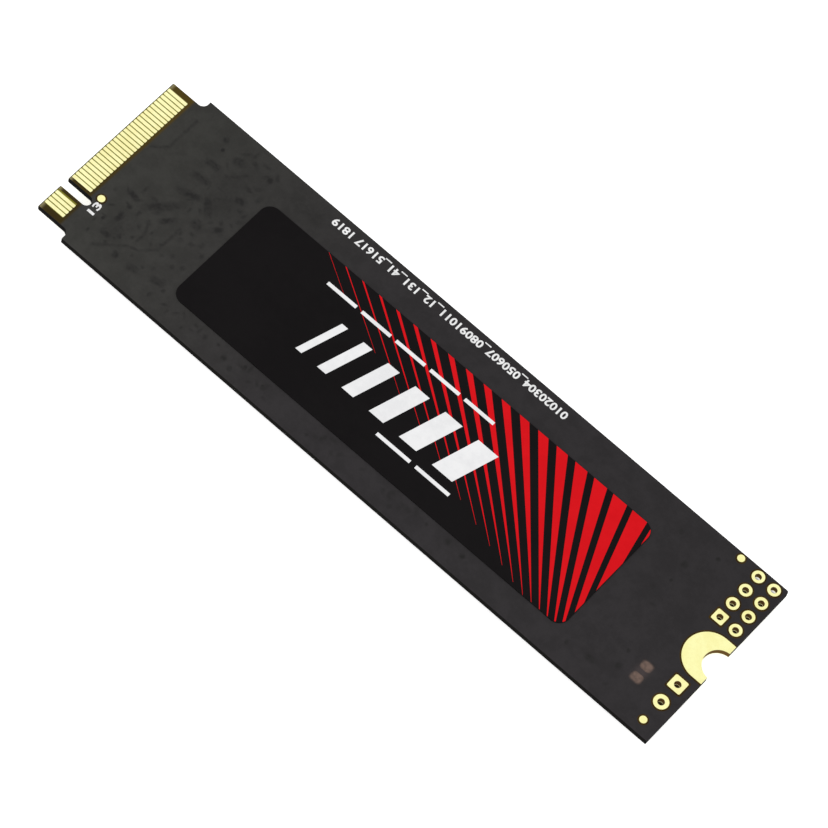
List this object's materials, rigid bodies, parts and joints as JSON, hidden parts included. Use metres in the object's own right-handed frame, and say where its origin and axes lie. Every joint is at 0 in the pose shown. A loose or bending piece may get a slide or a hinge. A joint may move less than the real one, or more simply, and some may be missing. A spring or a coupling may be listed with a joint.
{
  "type": "m2 nvme ssd",
  "caption": "Slim solid-state drive card with gold edge contacts, key notch, plated half-round screw notch, printed label and memory chips under it.",
  "frame": {"origin": "centre of the card, on the plane of the memory chips' faces that it lies on", "axes": "+X from the edge connector to the screw end, +Y across the card away from the key notch, +Z out of the label side"},
  "size_m": [0.08, 0.022, 0.0021],
  "materials": {
    "board_black": "matt black solder mask on glass laminate",
    "gold": "smooth gold plating",
    "dull_copper": "dull bare copper",
    "label_black": "satin black film",
    "print_red": "satin red ink",
    "print_white": "satin white ink",
    "chip_black": "fine matt moulding compound",
    "solder": "bright solder",
    "tin": "satin tin plating",
    "ceramic_tan": "matt ceramic",
    "ceramic_dark": "matt ceramic",
    "coil_grey": "pressed iron powder"
  },
  "bodies": {
    "root": {"circuit_board": "board_black", "edge_contacts_label_side": "gold", "edge_contacts_chip_side": "gold", "screw_notch_plating": "gold", "header_eyelets": "gold", "jumper_eyelets": "gold", "fiducial_dots": "gold", "spare_lands": "dull_copper", "label": "label_black", "label_red_stripes": "print_red", "label_white_print": "print_white", "controller_chip": "chip_black", "controller_balls": "solder", "memory_chip_1": "chip_black", "memory_chip_2": "chip_black", "memory_chip_3": "chip_black", "memory_chip_4": "chip_black", "memory_balls_1": "solder", "memory_balls_2": "solder", "memory_balls_3": "solder", "memory_balls_4": "solder", "power_chip": "chip_black", "power_chip_leads": "tin", "crystal_base": "ceramic_dark", "crystal_lid": "tin", "capacitor_bodies": "ceramic_tan", "capacitor_ends": "tin", "bulk_capacitor_bodies": "ceramic_tan", "bulk_capacitor_ends": "tin", "inductor_bodies": "coil_grey", "inductor_ends": "tin", "resistor_bodies": "ceramic_dark", "resistor_ends": "tin"}
  },
  "joints": []
}
